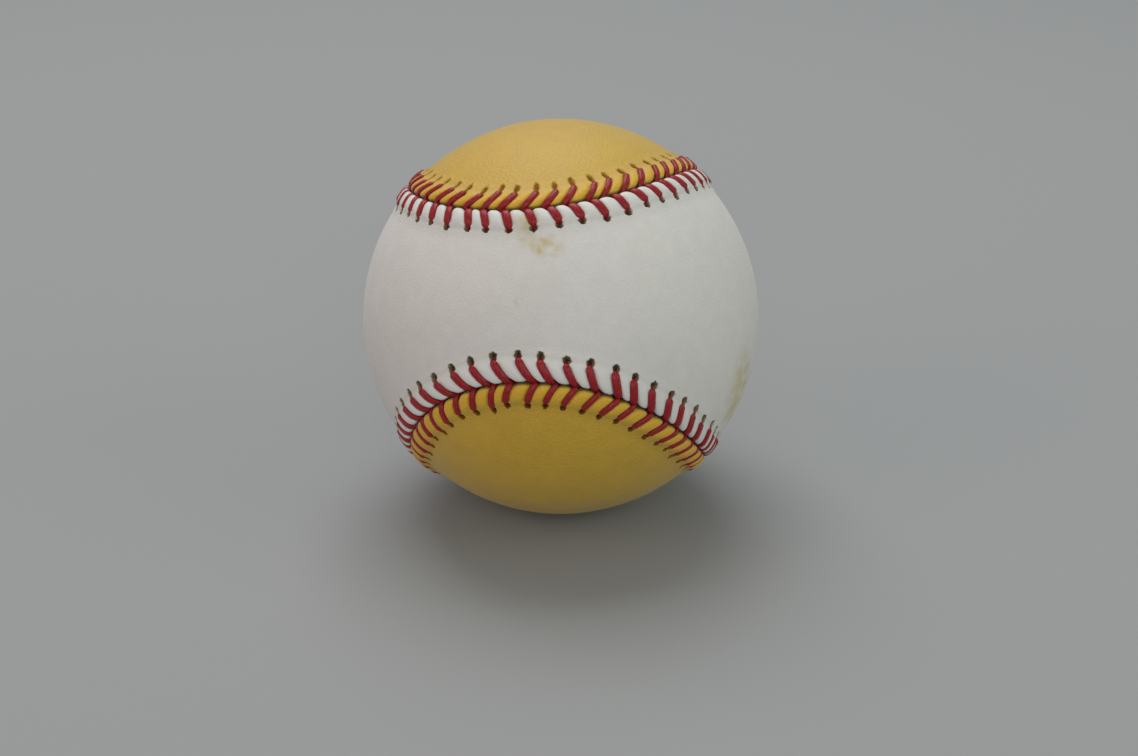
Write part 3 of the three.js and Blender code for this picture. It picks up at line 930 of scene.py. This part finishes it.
def end_matt(add, tone, dark, light, height, roughness, depth):
    """Ends a matt material: tones from dark to light, a roughness, and a bump from a height."""
    shader = {
        "Base Color": add("Mix", {0: tone, 6: dark, 7: light}, data_type="RGBA"),
        "Roughness": roughness,
        "Specular IOR Level": 0.25,
        "Normal": add("Bump", {"Height": height, "Strength": 0.7, "Distance": depth}),
    }
    add("OutputMaterial", {"Surface": add("BsdfPrincipled", shader)})


def fibre_material(name, colour):
    """Torn cowhide: matt collagen fibres of 0.1 mm, as the spikes are, darker and lighter by noise."""
    material, add, coords = new_material(name)
    dirt = add("TexNoise", {"Vector": coords, "Scale": 1 / TORN_FIBRE, "Detail": 3.0})
    end_matt(add, dirt, shade(colour, 0.6), shade(colour, 1.5), dirt, 0.85, 0.02 * MM)
    return material


def cork_material(name, colour):
    """Moulded cork: granules, each of its own tone, with dark glue in the joints, quite matt."""
    material, add, coords = new_material(name)
    place_in = {"Vector": coords, "Scale": 1 / GRANULE}
    grains = add("TexVoronoi", place_in).outputs["Color"]
    joints = add("TexVoronoi", place_in, feature="DISTANCE_TO_EDGE")
    glued = add("MapRange", {"Value": joints, "From Max": 0.08})
    tone = add("Math", {0: grains, 1: glued}, operation="MULTIPLY")
    end_matt(add, tone, shade(colour, 0.45), shade(colour, 1.25), glued, 0.9, 0.2 * MM)
    return material


def rubber_material(name, colour):
    """Moulded rubber: smooth and satin, clouded by the powder that frees it from its mould."""
    material, add, coords = new_material(name)
    powder = add("TexNoise", {"Vector": coords, "Scale": 1 / POWDER, "Detail": 6.0})
    skin = add("TexNoise", {"Vector": coords, "Scale": 1 / RUBBER_SKIN, "Detail": 2.0})
    end_matt(add, powder, shade(colour, 0.8), shade(colour, 1.5), skin, 0.55, 0.02 * MM)
    return material


def yarn_material(name, colour, yarn):
    """Wound yarn: round strands side by side, which cross in three directions, matt and fuzzy."""
    material, add, coords = new_material(name)
    strands = []
    for turn in YARN_TURNS:
        laid = add("Mapping", {"Vector": coords, "Rotation": turn})
        winding = {"Vector": laid, "Scale": WAVE_PERIOD / yarn, "Distortion": 1.2, "Detail": 2.0}
        strands.append(add("TexWave", winding).outputs["Fac"])
    wound = highest(add, strands)
    fuzz = add("TexNoise", {"Vector": coords, "Scale": 1 / (0.2 * yarn), "Detail": 3.0})
    tone = add("Math", {0: wound, 1: fuzz}, operation="MULTIPLY")
    end_matt(add, tone, shade(colour, 0.5), shade(colour, 1.3), tone, 0.95, 0.3 * yarn)
    return material


# The lacing

THREAD_SIDES = 10
SECTION_POWER = 2.2

# The thread's width in the slit and where it rises to the next hole, as shares of its full width
SLIT_WIDTH_SHARE = 0.56
HOLE_WIDTH_END = 0.8

# A stitch from its hole to the slit: shares of the way, heights in thread thicknesses, how far it sinks
# from there in millimetres, and its width as a share of the thread's
LEG_SHARE = np.array([-0.03, -0.02, 0.02, 0.1, 0.26, 0.44, 0.62, 0.79, 0.92, 0.985])
LEG_LIFT = np.array([0.0, 0.0, 0.1, 0.45, 0.5, 0.5, 0.5, 0.5, 0.45, 0.35])
LEG_SINK = np.array([1.6, 0.75, 0.14, 0.0, 0.0, 0.0, 0.0, 0.0, 0.04, 0.2])
LEG_WIDTH = np.array([0.7, 0.74, 0.86, 0.97, 1.0, 1.0, 1.0, 0.96, 0.86, 0.74])

# The run below, from the slit to the next hole: shares of the way, and depths in the ball in millimetres
RUN_SHARE = np.array([0.0, 0.08, 0.4, 0.75])
RUN_DEPTH = np.array([0.6, 1.3, 1.42, 1.42])


def thread_path(sizes, seam, first_side):
    """Stations, signed distances, heights and widths down one needle's thread.

    Each stitch is a leg over one margin, from its hole to the slit, and a run under the other to the next.
    """
    rows = []
    for number in range(seam.pairs):
        side = -first_side if number % 2 else first_side
        index = np.array(float(-number))
        mouth = seam.at(side, "mouth", index)
        station = seam.leg_station(side, index, LEG_SHARE)
        distance = mouth * (1 - LEG_SHARE)
        bed = ridge(sizes, distance) - sizes.groove * (1 - smooth(*BED_END, distance / mouth))
        height = bed + LEG_LIFT * sizes.thread_thickness - LEG_SINK * MM
        broad = seam.at(side, "broad", index) * LEG_WIDTH
        rows.append(np.stack([station, side * distance, height, broad], 1))
        next_hole = seam.hole_station(-side, index - 1)
        next_mouth = seam.at(-side, "mouth", index - 1)
        slit = seam.leg_station(side, index, np.array(1.0))
        run_station = slit + (next_hole - slit) * RUN_SHARE
        run_distance = -side * next_mouth * RUN_SHARE
        width = SLIT_WIDTH_SHARE + (HOLE_WIDTH_END - SLIT_WIDTH_SHARE) * RUN_SHARE
        rows.append(np.stack([run_station, run_distance, -RUN_DEPTH * MM, width], 1))
    return np.concatenate(rows).T


def thread_surface(sizes, seam, first_side):
    """One thread as a closed tube, and the lengths down it and round it for its map.

    Its section is a superellipse, |x/width|^p + |y/thickness|^p = 1, carried along the path with its width
    square to the path and along the seam.
    """
    station, distance, height, width = thread_path(sizes, seam, first_side)
    centre = seam.point(station, distance, height)
    _, along, _ = seam.frame_at(station)
    heading = unit(np.gradient(centre, axis=0))
    broad = unit(along - heading * (along * heading).sum(1, keepdims=True))
    thin = np.cross(broad, heading)
    angle = np.arange(THREAD_SIDES) * 2 * np.pi / THREAD_SIDES
    x, y = (np.sign(v) * np.abs(v) ** (2 / SECTION_POWER) for v in (np.cos(angle), np.sin(angle)))
    sideways = broad[:, None] * (x * sizes.thread_width / 2 * width[:, None])[..., None]
    points = centre[:, None] + sideways + thin[:, None] * (y * sizes.thread_thickness / 2)[:, None]
    rings, sides = points.shape[:2]
    numbers, turned, quads = ring_quads(rings, sides)
    start = fan(numbers.size, numbers[0], turned[0])
    stop = fan(numbers.size + 1, turned[-1], numbers[-1])
    all_points = settle(np.concatenate([points.reshape(-1, 3), centre[:1], centre[-1:]]))
    run = np.concatenate([[0], np.cumsum(np.linalg.norm(np.diff(centre, axis=0), axis=1))])
    reach = np.arange(sides + 1) / sides * 2 * (sizes.thread_width + sizes.thread_thickness)
    return all_points, quads, np.concatenate([start, stop]), run, reach


def lay_map(piece, quads, run, reach):
    """A UV map in metres: the length down the thread, and the way round it."""
    sides = len(reach) - 1
    around = quads % sides
    around[:, 2:] = np.where(around[:, 2:] == 0, sides, around[:, 2:])
    coords = np.zeros((len(piece.data.loops), 2), dtype=np.float32)
    coords[: quads.size] = np.stack([run[quads // sides], reach[around]], -1).reshape(-1, 2)
    piece.data.uv_layers.new(name="lay").data.foreach_set("uv", coords.ravel())


# Torn fibres: where they start in shares of a hole's half size, where they end in shares of that, how high
# they end and half their thickness in millimetres, and how deep they root
FIBRES_PER_HOLE = 14
FIBRE_SEED = 21
FIBRE_START = (0.7, 1.0)
FIBRE_END = (0.5, 1.6)
FIBRE_TIP = (-0.02, 0.16)
FIBRE_THICK = (0.03, 0.055)
FIBRE_ROOT = 0.16 * MM


def fibre_surface(sizes, seam, side):
    """Whiskers of torn leather round each hole: three-sided spikes that lean out or in."""
    rng = np.random.default_rng(FIBRE_SEED + side)
    count = seam.pairs * FIBRES_PER_HOLE
    stitch = np.repeat(np.arange(seam.pairs), FIBRES_PER_HOLE)
    around = rng.uniform(0, 2 * np.pi, count)
    reach = rng.uniform(*FIBRE_START, count)
    made = seam.stitches[side]
    station = seam.hole_station(side, stitch.astype(float))

    def spot(scale, height):
        along = np.cos(around) * reach * scale * sizes.hole_width * HOLE_WIDTH_SHARE[side] / 2
        across = np.sin(around) * reach * scale * made["length"][stitch] / 2
        distance = made["setback"][stitch] + across
        return seam.point(station + along / seam.pitch, side * distance, ridge(sizes, distance) + height)

    root = spot(1.0, -FIBRE_ROOT)
    tip = spot(rng.uniform(*FIBRE_END, count), rng.uniform(*FIBRE_TIP, count) * MM)
    heading = unit(tip - root)
    beside = unit(np.cross(heading, root))
    above = np.cross(beside, heading)
    thick = rng.uniform(*FIBRE_THICK, count)[:, None] * MM
    turns = (0.0, 2 * np.pi / 3, 4 * np.pi / 3)
    corners = [root + thick * (beside * math.cos(a) + above * math.sin(a)) for a in turns]
    points = np.stack([*corners, tip], 1).reshape(-1, 3)
    first = np.arange(count)[:, None] * 4
    faces = np.array([[1, 0, 3], [2, 1, 3], [0, 2, 3], [0, 1, 2]])
    triangles = (first[:, None] + faces[None]).reshape(-1, 3)
    return settle(points), np.zeros((0, 4), dtype=int), triangles


# Operators


class BASEBALL_OT_covers(bpy.types.Operator):
    """Makes the two figure-eight leather covers with their laced margins"""

    bl_idname = "baseball.covers"
    bl_label = "Covers"

    def execute(self, context):
        sizes = context.scene.baseball_sizes
        colours = context.scene.baseball_colours
        seam = Seam(sizes)
        leathers = {
            WHITE: (white_leather_material(colours), colours.white_hole),
            GOLD: (gold_leather_material(colours), colours.gold_hole),
        }
        for side, (leather, hole) in leathers.items():
            name = SIDE_NAMES[side]
            cover = build_mesh(f"{name}_leather_cover", *cover_surface(sizes, seam, side))
            place(cover, leather, f"{name}_leather", f"{name}_cover")
            fibres = build_mesh(f"{name}_hole_fibres", *fibre_surface(sizes, seam, side))
            place(fibres, fibre_material(f"{name} torn fibres", hole), f"{name}_leather")
        return {"FINISHED"}


class BASEBALL_OT_lacing(bpy.types.Operator):
    """Laces the covers with the two needles' red threads"""

    bl_idname = "baseball.lacing"
    bl_label = "Lacing"

    def execute(self, context):
        sizes = context.scene.baseball_sizes
        seam = Seam(sizes)
        material = thread_material("waxed red thread", context.scene.baseball_colours.thread)
        for letter, first_side in (("a", WHITE), ("b", GOLD)):
            points, quads, triangles, run, reach = thread_surface(sizes, seam, first_side)
            thread = build_mesh(f"waxed_thread_{letter}", points, quads, triangles)
            lay_map(thread, quads, run, reach)
            place(thread, material, "waxed_thread", f"seam_thread_{letter}")
        return {"FINISHED"}


class BASEBALL_OT_core(bpy.types.Operator):
    """Gives the cork, rubber and wound yarn inside their materials"""

    bl_idname = "baseball.core"
    bl_label = "Core"

    def execute(self, context):
        colours = context.scene.baseball_colours
        looks = {
            "cork_core": cork_material("moulded cork", colours.cork),
            "black_rubber": rubber_material("black moulded rubber", colours.black_rubber),
            "rubber_gasket": rubber_material("red moulded rubber gasket", colours.red_rubber),
            "red_rubber": rubber_material("red moulded rubber", colours.red_rubber),
            "grey_wool": yarn_material("four-ply grey wool", colours.grey_wool, FOUR_PLY),
            "white_wool": yarn_material("three-ply white wool", colours.white_wool, THREE_PLY),
            "outer_grey_wool": yarn_material("three-ply grey wool", colours.grey_wool, THREE_PLY),
            "finishing_yarn": yarn_material("fine finishing yarn", colours.finishing_yarn, FINE_YARN),
        }
        for start, material in looks.items():
            for node, piece in frame["nodes"].items():
                if node.startswith(start):
                    piece.data.materials.clear()
                    piece.data.materials.append(material)
        return {"FINISHED"}


# The studio

# The round floor, and where it thins out into the backdrop, as distances from the ball
FLOOR_RADIUS = 1.5
FLOOR_RINGS = 12
FLOOR_STEPS = 48
FADE_START = 0.5
FADE_END = 1.4

# The soft boxes: place, side of the square, power in watts and colour
SOFT_BOXES = {
    "top_box": ((-0.12, 0.45, 1.1), 0.9, 9.2, "#FFFFFF"),
    "front_box": ((0.1, -1.25, 0.48), 0.8, 4.35, "#FBFCFF"),
    "left_box": ((-0.9, -0.5, 0.42), 0.7, 1.9, "#FFDFD0"),
    "right_box": ((0.95, -0.35, 0.42), 0.7, 2.1, "#E4F2DE"),
}


def floor_surface():
    """A flat round floor under the ball, in rings of points."""
    reach = FLOOR_RADIUS * np.arange(1, FLOOR_RINGS + 1) / FLOOR_RINGS
    turn = np.arange(FLOOR_STEPS) * 2 * np.pi / FLOOR_STEPS
    x = reach[:, None] * np.cos(turn)
    y = reach[:, None] * np.sin(turn)
    points = np.stack([x, y, np.full_like(x, -BALL_RADIUS)], -1).reshape(-1, 3)
    numbers, turned, quads = ring_quads(*x.shape)
    points = np.concatenate([points, [[0, 0, -BALL_RADIUS]]])
    return points, quads, fan(x.size, numbers[0], turned[0])


def paper_material(name, colour):
    """Studio paper: matt and even, and thinned out so that it meets the backdrop with no edge."""
    material, add, coords = new_material(name)
    reach = add("VectorMath", {0: coords}, operation="LENGTH")
    rim = {"Value": reach, "From Min": FADE_START, "From Max": FADE_END}
    thinned = add("MapRange", rim, interpolation_type="SMOOTHSTEP")
    paper = add("BsdfPrincipled", {"Base Color": shade(colour), "Roughness": 0.9})
    mixed = add("MixShader", {0: thinned, 1: paper, 2: add("BsdfTransparent")})
    add("OutputMaterial", {"Surface": mixed})
    return material


def add_camera():
    """The camera, as the photograph was taken."""
    data = bpy.data.cameras.new("camera")
    data.lens = CAMERA_LENS
    data.sensor_width = SENSOR_WIDTH
    camera = add_object("camera", data)
    camera.location = camera_place()
    camera.rotation_euler = (math.pi / 2 - CAMERA_PITCH, 0, 0)
    bpy.context.scene.camera = camera


def add_soft_box(name, place_at, size, power, colour):
    """A square soft box that looks at the ball."""
    data = bpy.data.lights.new(name, "AREA")
    data.shape = "SQUARE"
    data.size = size
    data.energy = power
    data.color = linear(colour)
    lamp = add_object(name, data)
    lamp.location = place_at
    x, y, z = place_at
    lamp.rotation_euler = (math.atan2(math.hypot(x, y), z), 0, math.atan2(y, x) + math.pi / 2)


class BASEBALL_OT_stage(bpy.types.Operator):
    """Makes the camera, a pale floor, soft boxes, and an even backdrop of the floor's tone"""

    bl_idname = "baseball.stage"
    bl_label = "Studio"

    def execute(self, context):
        colours = context.scene.baseball_colours
        add_camera()
        floor = build_mesh("studio_floor", *floor_surface())
        floor.data.materials.append(paper_material("matt studio paper", colours.floor))
        for name, box in SOFT_BOXES.items():
            add_soft_box(name, *box)
        world = bpy.data.worlds.new("studio")
        world.use_nodes = True
        backdrop = world.node_tree.nodes["Background"].inputs
        backdrop["Color"].default_value = shade(colours.backdrop)
        backdrop["Strength"].default_value = 1.0
        context.scene.world = world
        context.scene.view_settings.view_transform = "Standard"
        return {"FINISHED"}


class BASEBALL_PT_panel(bpy.types.Panel):
    """Lists the makers and what they read"""

    bl_label = "Baseball"
    bl_idname = "BASEBALL_PT_panel"
    bl_space_type = "VIEW_3D"
    bl_region_type = "UI"
    bl_category = "Baseball"

    def draw(self, context):
        for group in (context.scene.baseball_sizes, context.scene.baseball_colours):
            for name in group.__annotations__:
                self.layout.prop(group, name)
        for maker in MAKERS:
            self.layout.operator(maker.bl_idname)


MAKERS = (BASEBALL_OT_covers, BASEBALL_OT_lacing, BASEBALL_OT_core, BASEBALL_OT_stage)
CLASSES = (BaseballSizes, BaseballColours, *MAKERS, BASEBALL_PT_panel)


def register():
    for kind in CLASSES:
        bpy.utils.register_class(kind)
    bpy.types.Scene.baseball_sizes = bpy.props.PointerProperty(type=BaseballSizes)
    bpy.types.Scene.baseball_colours = bpy.props.PointerProperty(type=BaseballColours)


def unregister():
    del bpy.types.Scene.baseball_colours
    del bpy.types.Scene.baseball_sizes
    for kind in reversed(CLASSES):
        bpy.utils.unregister_class(kind)


def main():
    """Makes everything in order."""
    register()
    bpy.ops.baseball.covers()
    bpy.ops.baseball.lacing()
    bpy.ops.baseball.core()
    bpy.ops.baseball.stage()


if __name__ == "__main__":
    main()
